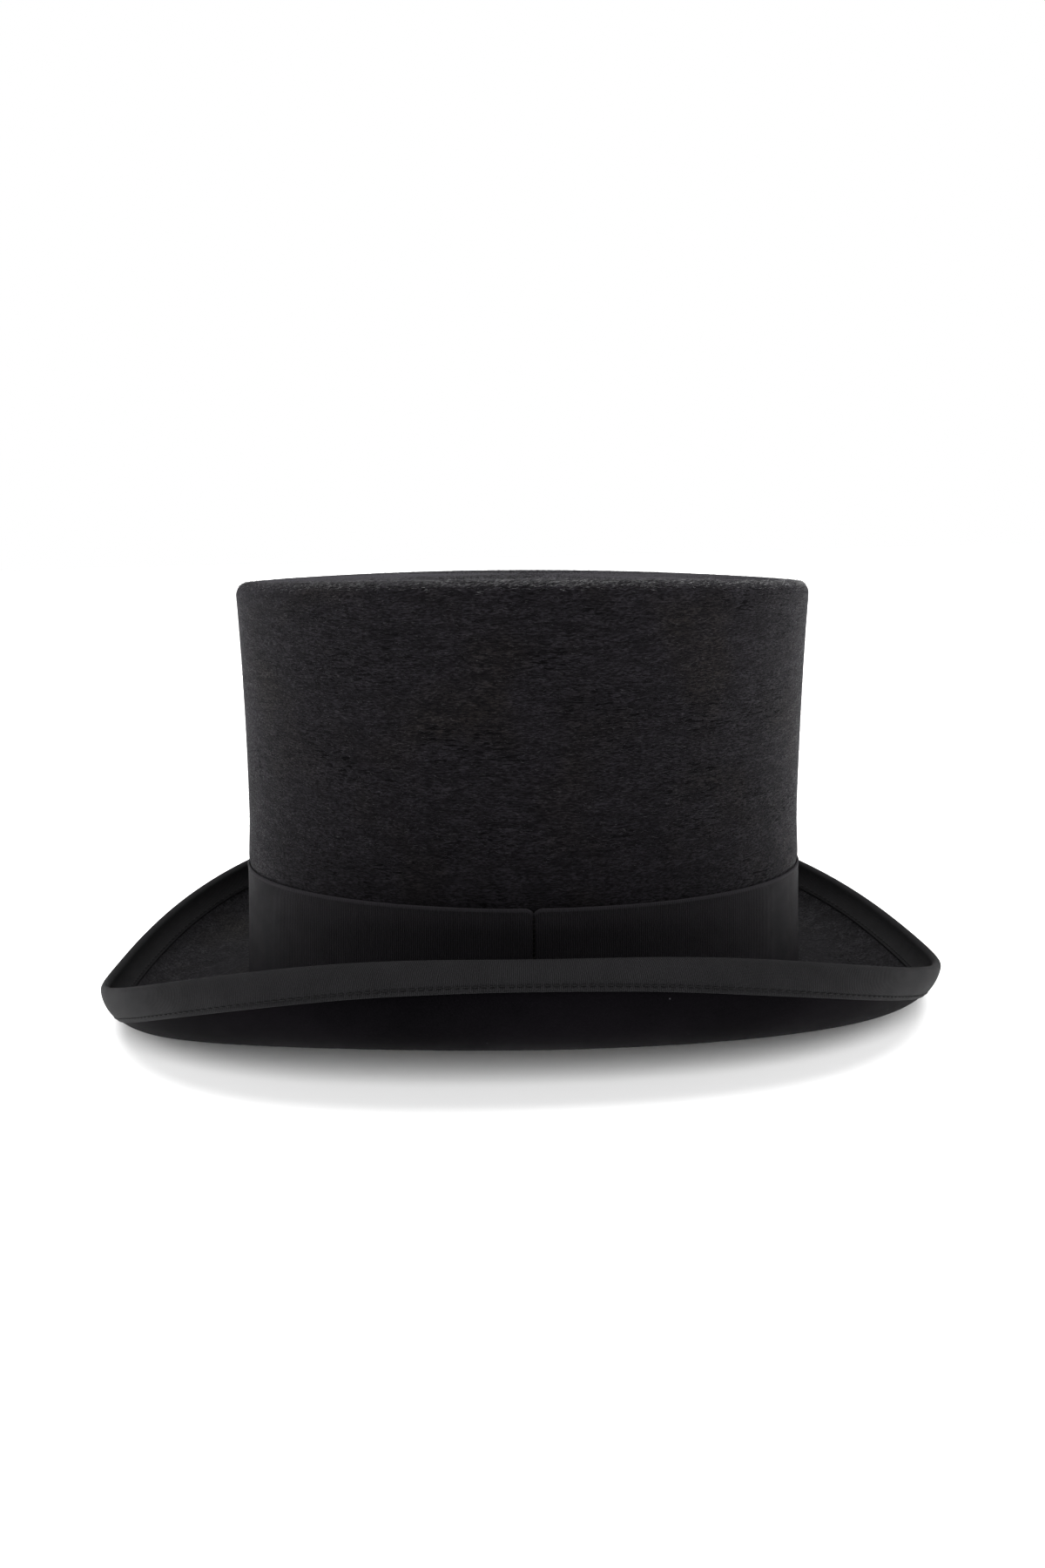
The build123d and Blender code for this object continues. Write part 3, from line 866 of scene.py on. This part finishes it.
class Nodes:
    """The node tree of a material or a world, emptied, with a short way to add and join nodes."""

    def __init__(self, owner, output):
        owner.use_nodes = True
        self.tree = owner.node_tree
        self.tree.nodes.clear()
        self.output = self.tree.nodes.new(output)

    def add(self, kind, inputs=(), **settings):
        node = self.tree.nodes.new(kind)
        for name, value in settings.items():
            setattr(node, name, value)
        for name, value in dict(inputs).items():
            self.give(node.inputs[name], value)
        return node

    def give(self, socket, value):
        if isinstance(value, bpy.types.NodeSocket):
            self.tree.links.new(value, socket)
        else:
            socket.default_value = value

    def place(self, scale=(1, 1, 1)):
        """Object coordinates, stretched by a scale for each axis."""
        coords = self.add("ShaderNodeTexCoord").outputs["Object"]
        return self.add("ShaderNodeMapping", {"Vector": coords, "Scale": scale}).outputs[0]

    def flat(self, scale=(1, 1, 1)):
        """The piece's own flat pattern, along and across, in metres."""
        coords = self.add("ShaderNodeUVMap", uv_map="flat").outputs[0]
        return self.add("ShaderNodeMapping", {"Vector": coords, "Scale": scale}).outputs[0]

    def noise(self, vector, scale, detail=4.0, roughness=0.55):
        inputs = {"Vector": vector, "Scale": scale, "Detail": detail, "Roughness": roughness}
        return self.add("ShaderNodeTexNoise", inputs).outputs[0]

    def spread(self, value, low, high, bottom=0.0, top=1.0):
        """value between low and high taken to bottom and top, and held there outside."""
        inputs = {"Value": value, "From Min": low, "From Max": high, "To Min": bottom, "To Max": top}
        return self.add("ShaderNodeMapRange", inputs).outputs[0]

    def math(self, operation, first, second=0.0):
        node = self.add("ShaderNodeMath", operation=operation)
        self.give(node.inputs[0], first)
        self.give(node.inputs[1], second)
        return node.outputs[0]

    def times(self, first, second):
        return self.math("MULTIPLY", first, second)

    def plus(self, first, second):
        return self.math("ADD", first, second)

    def parts(self, vector):
        return self.add("ShaderNodeSeparateXYZ", {"Vector": vector}).outputs

    def mix(self, share, first, second):
        node = self.add("ShaderNodeMix", data_type="RGBA")
        for index, value in ((0, share), (6, first), (7, second)):
            self.give(node.inputs[index], value)
        return node.outputs[2]

    def blend(self, value, low, high, first, second):
        """The first colour where value is low, the second where it is high."""
        return self.mix(self.spread(value, low, high), first, second)

    def bump(self, height, distance, strength, normal=None):
        inputs = {"Height": height, "Distance": distance, "Strength": strength}
        if normal is not None:
            inputs["Normal"] = normal
        return self.add("ShaderNodeBump", inputs).outputs[0]


class Surface(Nodes):
    """A new material with one principled shader."""

    def __init__(self, name):
        self.material = bpy.data.materials.new(name)
        super().__init__(self.material, "ShaderNodeOutputMaterial")
        self.shader = self.tree.nodes.new("ShaderNodeBsdfPrincipled")
        self.give(self.output.inputs["Surface"], self.shader.outputs[0])

    def shade(self, **inputs):
        """Sets the shader's inputs, each to a number, a colour or another node's result."""
        for name, value in inputs.items():
            self.give(self.shader.inputs[name.replace("_", " ")], value)


def colour(red, green, blue):
    return (red, green, blue, 1.0)


NAP_DARK = colour(0.0003, 0.0003, 0.0004)
NAP_MID = colour(0.0012, 0.001, 0.0014)
NAP_LIGHT = colour(0.0155, 0.0138, 0.0172)
# The brim's upper nap is the same cloth as the crown's, made darker here: painted shade from the crown and
# the rolled edge.
FLOOR_NAP_LIGHT_WITH_PAINTED_SHADE = colour(0.0125, 0.0118, 0.0138)
HAIR_DARK = colour(0.0007, 0.0006, 0.0008)
HAIR_LIGHT = colour(0.009, 0.0082, 0.01)
# Some of the crown's hairs are made paler: painted glints, for hairs that catch the light.
PAINTED_GLINT_HAIR_DARK = colour(0.008, 0.0074, 0.009)
PAINTED_GLINT_HAIR_LIGHT = colour(0.028, 0.026, 0.031)
# The corner's hairs are far paler than the rest of the nap: a painted highlight along the crown's top edge,
# where the overhead light catches it.
EDGE_HAIR_DARK = colour(0.002, 0.002, 0.002)
EDGE_HAIR_PAINTED_HIGHLIGHT = colour(0.14, 0.14, 0.145)
BRIM_HAIR_DARK = colour(0.0005, 0.0005, 0.0006)
BRIM_HAIR_LIGHT = colour(0.018, 0.017, 0.0195)
BAND_DARK = colour(0.0066, 0.0061, 0.0072)
BAND_LIGHT = colour(0.0225, 0.021, 0.024)
BINDING_DARK = colour(0.0036, 0.0035, 0.0038)
BINDING_LIGHT = colour(0.0195, 0.019, 0.0205)
BOW_DARK = colour(0.004, 0.004, 0.0045)
BOW_LIGHT = colour(0.01, 0.0098, 0.011)
BLACK_THREAD = (0.0013, 0.0012, 0.0014)
JOIN_THREAD = (0.0055, 0.0048, 0.0036)
# Where across the band a painted highlight runs along its top woven edge, where the edge catches the light.
SELVEDGE_PAINTED_HIGHLIGHT = (BAND_HEIGHT - 0.9 * MM, BAND_HEIGHT + 0.4 * MM)
WARP_PITCH = 0.22 * MM
TAPE_WEAVE_PITCH = 0.4 * MM


def nap_cloth(name, comb, light, sheen):
    """Short brushed nap: fine streaks along the comb, clusters of dark dashes where it parts, faint
    brown patches where it has faded, and a soft sheen."""
    nodes = Surface(name)

    def combed(stretch):
        return nodes.place(tuple(1 - stretch * share for share in comb))

    short = combed(0.72)
    streaks = nodes.noise(short, 2300.0, 2.0, 0.65)
    swells = nodes.noise(short, 380.0, 2.0, 0.5)
    flecks = nodes.noise(combed(0.84), 1500.0, 1.0)
    patches = nodes.noise(combed(0.55), 55.0, 2.0, 0.6)
    clustered = nodes.spread(patches, 0.48, 0.64, 0.3, 1.0)
    parting = nodes.times(nodes.spread(flecks, 0.56, 0.6), clustered)
    swelling = nodes.spread(swells, 0.35, 0.65, 0.4, 1.0)
    tone = nodes.times(nodes.spread(streaks, 0.38, 0.66), swelling)
    faded = tuple(channel * share for channel, share in zip(light, (1.0, 0.93, 0.7, 1.0)))
    lit = nodes.blend(nodes.noise(nodes.place(), 34.0, 2.0), 0.5, 0.68, light, faded)
    nodes.shade(Base_Color=nodes.mix(parting, nodes.mix(tone, NAP_MID, lit), NAP_DARK))
    gloss = nodes.times(nodes.math("SUBTRACT", 1.0, parting), nodes.spread(tone, 0, 1, 0.4, 1.0))
    nodes.shade(Roughness=nodes.spread(gloss, 0, 1, 1.0, 0.55), Specular_IOR_Level=0.07)
    nodes.shade(Sheen_Weight=sheen, Sheen_Roughness=0.5, Sheen_Tint=colour(0.86, 0.82, 0.95))
    height = nodes.math("SUBTRACT", nodes.plus(streaks, swells), nodes.times(parting, 0.6))
    nodes.shade(Normal=nodes.bump(height, 0.0004, 1.0))
    return nodes.material


def grained(name, stretch, scale, detail, limits, tones):
    """The start of a material whose colour goes between two tones with one grain."""
    nodes = Surface(name)
    grain = nodes.noise(nodes.place(stretch), scale, detail)
    nodes.shade(Base_Color=nodes.blend(grain, *limits, *tones))
    return nodes, grain


def nap_hair(name, dark, light, gloss):
    """Single hairs, most of them dark and some pale, with a silky gloss."""
    nodes, shade = grained(name, (1, 1, 1), 900.0, 1.0, (0.42, 0.66), (dark, light))
    nodes.shade(Roughness=nodes.spread(shade, 0.3, 0.7, 0.5, 0.36), Specular_IOR_Level=gloss)
    return nodes.material


def grosgrain(name, ribs, dark, light, sheen, painted_highlight_edge=None):
    """Ribbed ribbon: ribs across its width, fine warp threads along it, with painted shade in the valleys
    between the ribs. painted_highlight_edge is how far across the ribbon a painted highlight along its woven
    edge begins and ends."""
    nodes = Surface(name)
    flat = nodes.flat()
    parts = nodes.parts(flat)
    wander = nodes.noise(nodes.flat((6, 60, 1)), 8.0, 2.0)
    along = nodes.plus(parts[0], nodes.times(wander, 0.0005))
    turn = nodes.times(along, 2 * math.pi / ribs)
    rib = nodes.math("ABSOLUTE", nodes.math("SINE", nodes.times(turn, 0.5)))
    threads = nodes.math("SINE", nodes.times(parts[1], 2 * math.pi / WARP_PITCH))
    wear = nodes.noise(flat, 90.0, 4.0)
    fuzz = nodes.noise(flat, 2600.0, 2.0)
    worn = nodes.spread(wear, 0.3, 0.7, 0.7, 1.0)
    # Darker where the rib is low: painted shade in the valleys between the ribs.
    tone = nodes.times(nodes.spread(rib, 0.2, 1.0, 0.15, 0.85), worn)
    tone = nodes.plus(tone, nodes.spread(fuzz, 0.5, 0.75, 0.0, 0.6))
    # A paler stripe along the woven edge: a painted highlight where the edge catches the light.
    if painted_highlight_edge is not None:
        begins, ends = painted_highlight_edge
        inside = nodes.spread(parts[1], begins, begins + SOFT_EDGE)
        outside = nodes.spread(parts[1], ends, ends + SOFT_EDGE, 1.0, 0.0)
        tone = nodes.plus(tone, nodes.times(nodes.times(inside, outside), 3.0))
    nodes.shade(Base_Color=nodes.mix(tone, dark, light))
    nodes.shade(Roughness=nodes.spread(wear, 0.3, 0.7, 0.72, 0.62), Specular_IOR_Level=0.05)
    nodes.shade(Sheen_Weight=sheen, Sheen_Roughness=0.4)
    relief = nodes.plus(rib, nodes.times(threads, 0.12))
    nodes.shade(Normal=nodes.bump(relief, ribs * 0.24, 1.0))
    return nodes.material


def merino():
    """The brim's smooth under face: close wool cloth with a few specks of lint."""
    nodes = Surface("brim_merino_cloth")
    place = nodes.place()
    weave = nodes.noise(place, 2400.0, 3.0, 0.6)
    patches = nodes.noise(place, 30.0, 4.0)
    inputs = {"Vector": place, "Scale": 130.0, "Randomness": 1.0}
    specks = nodes.add("ShaderNodeTexVoronoi", inputs).outputs["Distance"]
    lint = nodes.times(nodes.spread(specks, 0.055, 0.035), nodes.spread(patches, 0.44, 0.47))
    broad = nodes.spread(patches, 0.35, 0.65, 0.0, 0.5)
    mottle = nodes.plus(broad, nodes.spread(weave, 0.35, 0.65, 0.0, 0.5))
    cloth = nodes.mix(mottle, colour(0.0007, 0.0006, 0.0009), colour(0.0032, 0.0026, 0.0036))
    nodes.shade(Base_Color=nodes.mix(lint, cloth, colour(0.05, 0.05, 0.055)))
    nodes.shade(Roughness=nodes.spread(patches, 0.3, 0.7, 0.7, 0.6), Specular_IOR_Level=0.015)
    nodes.shade(Normal=nodes.bump(weave, 0.00018, 0.6))
    return nodes.material


def thread(name, tone):
    """Twisted thread."""
    tones = colour(*tone), colour(*(2.2 * channel for channel in tone))
    nodes, twist = grained(name, (1, 1, 1), 5200.0, 2.0, (0.3, 0.7), tones)
    nodes.shade(Roughness=0.6, Specular_IOR_Level=0.15, Normal=nodes.bump(twist, 0.00006, 0.8))
    return nodes.material


def stiffened_cloth():
    """Cloth soaked with shellac: an open weave under an amber, uneven gloss."""
    nodes = Surface("shellacked_cloth")
    place = nodes.place()
    weave = nodes.noise(place, 1500.0, 2.0)
    stain = nodes.noise(place, 45.0, 4.0)
    brown, amber = colour(0.14, 0.06, 0.02), colour(0.3, 0.17, 0.07)
    nodes.shade(Base_Color=nodes.blend(stain, 0.3, 0.7, brown, amber))
    nodes.shade(Roughness=nodes.spread(stain, 0.3, 0.7, 0.3, 0.55), Normal=nodes.bump(weave, 0.0003, 0.7))
    return nodes.material


def leather():
    """Brown sweatband leather: fine pores, creases and a darker, polished foot."""
    nodes = Surface("brown_leather")
    place = nodes.place()
    pores = nodes.add("ShaderNodeTexVoronoi", {"Vector": place, "Scale": 1500.0}).outputs["Distance"]
    creases = nodes.noise(nodes.place((1, 1, 2.5)), 160.0, 6.0, 0.6)
    stain = nodes.noise(place, 28.0, 4.0)
    foot = nodes.spread(nodes.parts(nodes.flat())[1], 0.012, 0.0, 0.0, 0.6)
    tone = nodes.plus(nodes.spread(stain, 0.35, 0.65, 0.0, 0.6), foot)
    skin = nodes.mix(tone, colour(0.16, 0.065, 0.024), colour(0.075, 0.03, 0.012))
    pitted = nodes.spread(pores, 0.25, 0.05, 0.0, 0.6)
    nodes.shade(Base_Color=nodes.mix(pitted, skin, colour(0.05, 0.02, 0.009)))
    nodes.shade(Roughness=nodes.spread(creases, 0.3, 0.7, 0.34, 0.52), Specular_IOR_Level=0.5)
    fine = nodes.bump(pores, 0.00012, 0.5)
    nodes.shade(Normal=nodes.bump(creases, 0.0004, 0.5, fine), Coat_Weight=0.12, Coat_Roughness=0.35)
    return nodes.material


def satin():
    """Ivory satin: fine warp lines, a silky highlight and slight soiling."""
    nodes = Surface("ivory_satin")
    lines = nodes.noise(nodes.place((1, 1, 0.04)), 3200.0, 2.0)
    soil = nodes.noise(nodes.place(), 24.0, 5.0)
    cloth = nodes.blend(soil, 0.35, 0.75, colour(0.76, 0.7, 0.58), colour(0.62, 0.54, 0.41))
    warp = nodes.spread(lines, 0.35, 0.65, 0, 0.35)
    nodes.shade(Base_Color=nodes.mix(warp, cloth, colour(0.52, 0.46, 0.36)))
    nodes.shade(Roughness=nodes.spread(lines, 0.3, 0.7, 0.24, 0.38))
    nodes.shade(Anisotropic=0.6, Specular_IOR_Level=0.6)
    nodes.shade(Sheen_Weight=0.15, Normal=nodes.bump(lines, 0.00007, 0.6))
    return nodes.material


def plain_weave():
    nodes = Surface("black_tape")
    flat = nodes.flat()
    parts = nodes.parts(flat)
    warp = nodes.math("SINE", nodes.times(parts[0], 2 * math.pi / TAPE_WEAVE_PITCH))
    weft = nodes.math("SINE", nodes.times(parts[1], 2 * math.pi / TAPE_WEAVE_PITCH))
    weave = nodes.times(warp, weft)
    dark, light = colour(0.006, 0.006, 0.007), colour(0.018, 0.017, 0.02)
    nodes.shade(Base_Color=nodes.blend(weave, -0.8, 0.8, dark, light))
    nodes.shade(Roughness=0.7, Normal=nodes.bump(weave, 0.0001, 0.7))
    return nodes.material


def drawn_wire():
    steel, tarnish = colour(0.32, 0.33, 0.35), colour(0.2, 0.17, 0.14)
    nodes, marks = grained("edge_wire_steel", (1, 1, 1), 900.0, 3.0, (0.4, 0.7), (steel, tarnish))
    nodes.shade(Metallic=1.0, Roughness=nodes.spread(marks, 0.3, 0.7, 0.3, 0.5))
    return nodes.material


def cane():
    pale, brown = colour(0.6, 0.47, 0.27), colour(0.42, 0.3, 0.15)
    nodes, grain = grained("pale_cane", (1, 1, 6), 700.0, 3.0, (0.3, 0.7), (pale, brown))
    nodes.shade(Roughness=0.5, Normal=nodes.bump(grain, 0.0001, 0.5))
    return nodes.material


# --- Studio ---

CAMERA_LENS = 33.1
CAMERA_PLACE = (-16.22 * MM, -537.86 * MM, 160.35 * MM)  # from the crown's axis at the break
CAMERA_TURN = (80.459, 1.453, -2.088)
FLOOR_SIZE = 30.0
AIR_LIGHT = 0.08
SIDE_LIGHT = 1.9
SIDE_NARROWING = 4.0  # a higher power keeps the side light nearer to straight left and right
FLOOR_POWER = 4.5
FLOOR_SPREAD = 36.0
FLOOR_TURN = (60.0, 0.0, 0.0)
OVERHEAD_POWER = 4.9
OVERHEAD_SPREAD = 64.0
OVERHEAD_TURN = (-10.0, 0.0, 0.0)


def soft_sun(name, power, spread, turns):
    data = bpy.data.lights.new(name, "SUN")
    data.energy = power
    data.angle = math.radians(spread)
    light = bpy.data.objects.new(name, data)
    light.rotation_euler = tuple(math.radians(turn) for turn in turns)
    bpy.context.scene.collection.objects.link(light)
    return light


def lights(ground):
    """A broad, soft light from above and a little behind, and a low one that lights only the floor,
    so that the paper stays pale under the front of the hat."""
    soft_sun("overhead_light", OVERHEAD_POWER, OVERHEAD_SPREAD, OVERHEAD_TURN)
    low = soft_sun("floor_light", FLOOR_POWER, FLOOR_SPREAD, FLOOR_TURN)
    paper = bpy.data.collections.new("paper")
    paper.objects.link(ground)
    low.light_linking.receiver_collection = paper


def studio_air():
    """Dim white light from all round, stronger from the left and right, and a plain white view of it."""
    world = bpy.data.worlds.new("soft_studio")
    nodes = Nodes(world, "ShaderNodeOutputWorld")
    background = nodes.add("ShaderNodeBackground", {"Color": colour(1, 1, 1)})
    towards = nodes.add("ShaderNodeTexCoord").outputs["Generated"]
    sideways = nodes.parts(towards)[0]
    beside = nodes.math("POWER", nodes.math("ABSOLUTE", sideways), SIDE_NARROWING)
    beside = nodes.times(beside, SIDE_LIGHT)
    seen = nodes.add("ShaderNodeLightPath").outputs["Is Camera Ray"]
    strength = nodes.math("MAXIMUM", nodes.plus(beside, AIR_LIGHT), seen)
    nodes.give(background.inputs["Strength"], strength)
    nodes.give(nodes.output.inputs["Surface"], background.outputs[0])
    bpy.context.scene.world = world


def studio():
    scene = bpy.context.scene
    floor = bpy.data.meshes.new("studio_floor")
    half = FLOOR_SIZE / 2
    corners = [(-half, -half, 0), (half, -half, 0), (half, half, 0), (-half, half, 0)]
    floor.from_pydata(corners, [], [(0, 1, 2, 3)])
    nodes = Surface("pale_paper")
    nodes.shade(Base_Color=colour(0.93, 0.93, 0.93), Roughness=0.9, Specular_IOR_Level=0.1)
    floor.materials.append(nodes.material)
    ground = bpy.data.objects.new("studio_floor", floor)
    scene.collection.objects.link(ground)
    studio_air()
    lights(ground)
    scene.view_settings.view_transform = "Standard"


def camera():
    data = bpy.data.cameras.new("camera")
    data.lens = CAMERA_LENS
    data.sensor_width = 36.0
    view = bpy.data.objects.new("camera", data)
    view.location = REST + np.array(CAMERA_PLACE)
    view.rotation_euler = tuple(math.radians(turn) for turn in CAMERA_TURN)
    bpy.context.scene.collection.objects.link(view)
    bpy.context.scene.camera = view


# --- The hat ---


def outer_cloth():
    crown_side(nap_cloth("crown_side_nap", (1, 1, 0), NAP_LIGHT, 0.04))
    crown_tip(nap_cloth("crown_tip_nap", (1, 0, 0), NAP_LIGHT, 0.16))
    # The brim floor's darker nap colour is painted shade from the crown and the rolled edge.
    brim_upper(nap_cloth("brim_floor_nap_painted_shade", (0.5, 0.5, 0.5), FLOOR_NAP_LIGHT_WITH_PAINTED_SHADE, 0.02))
    brim_under(merino())


def outer_ribbons(black_thread):
    band(grosgrain("band_grosgrain", RIB_PITCH, BAND_DARK, BAND_LIGHT, 0.0, SELVEDGE_PAINTED_HIGHLIGHT))
    binding(grosgrain("binding_grosgrain", BINDING_RIB_PITCH, BINDING_DARK, BINDING_LIGHT, 0.015))
    binding_stitches(black_thread)
    join_stitches(thread("join_thread", JOIN_THREAD))


def hairs():
    hair = nap_hair("nap_hair", HAIR_DARK, HAIR_LIGHT, 0.3)
    # The paler hairs are painted glints, for hairs that catch the light.
    painted_glint_hair = nap_hair("nap_painted_glint_hair", PAINTED_GLINT_HAIR_DARK, PAINTED_GLINT_HAIR_LIGHT, 0.6)
    crown_side_nap("crown_side_nap_hair", SIDE_HAIRS, hair)
    crown_side_nap("crown_side_nap_painted_glint_hair", SIDE_PAINTED_GLINT_HAIRS, painted_glint_hair)
    # Pale corner hairs: a painted highlight along the crown's top edge.
    crown_corner_nap(nap_hair("edge_nap_hair_painted_highlight", EDGE_HAIR_DARK, EDGE_HAIR_PAINTED_HIGHLIGHT, 0.9))
    crown_tip_nap(hair)
    brim_nap(nap_hair("brim_nap_hair", BRIM_HAIR_DARK, BRIM_HAIR_LIGHT, 0.2))


def inside(black_thread):
    sweatband(leather())
    sweatband_join(black_thread)
    reed_tape(plain_weave())
    sweatband_stitches(black_thread)
    ivory = satin()
    lining_side(ivory)
    lining_tip(ivory)
    bow(grosgrain("bow_grosgrain", BINDING_RIB_PITCH, BOW_DARK, BOW_LIGHT, 0.05))


def carried_over():
    """The CAD pieces that stay as they are get their materials."""
    stiff = stiffened_cloth()
    materials = {"crown_side_shell": stiff, "crown_tip_shell": stiff, "brim_shell": stiff}
    materials |= {"brim_edge_wire": drawn_wire(), "sweatband_reed": cane()}
    for node, material in materials.items():
        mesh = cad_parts[node].data
        mesh.materials.clear()
        mesh.materials.append(material)


def build():
    black_thread = thread("black_thread", BLACK_THREAD)
    outer_cloth()
    outer_ribbons(black_thread)
    hairs()
    inside(black_thread)
    carried_over()


build()
studio()
camera()
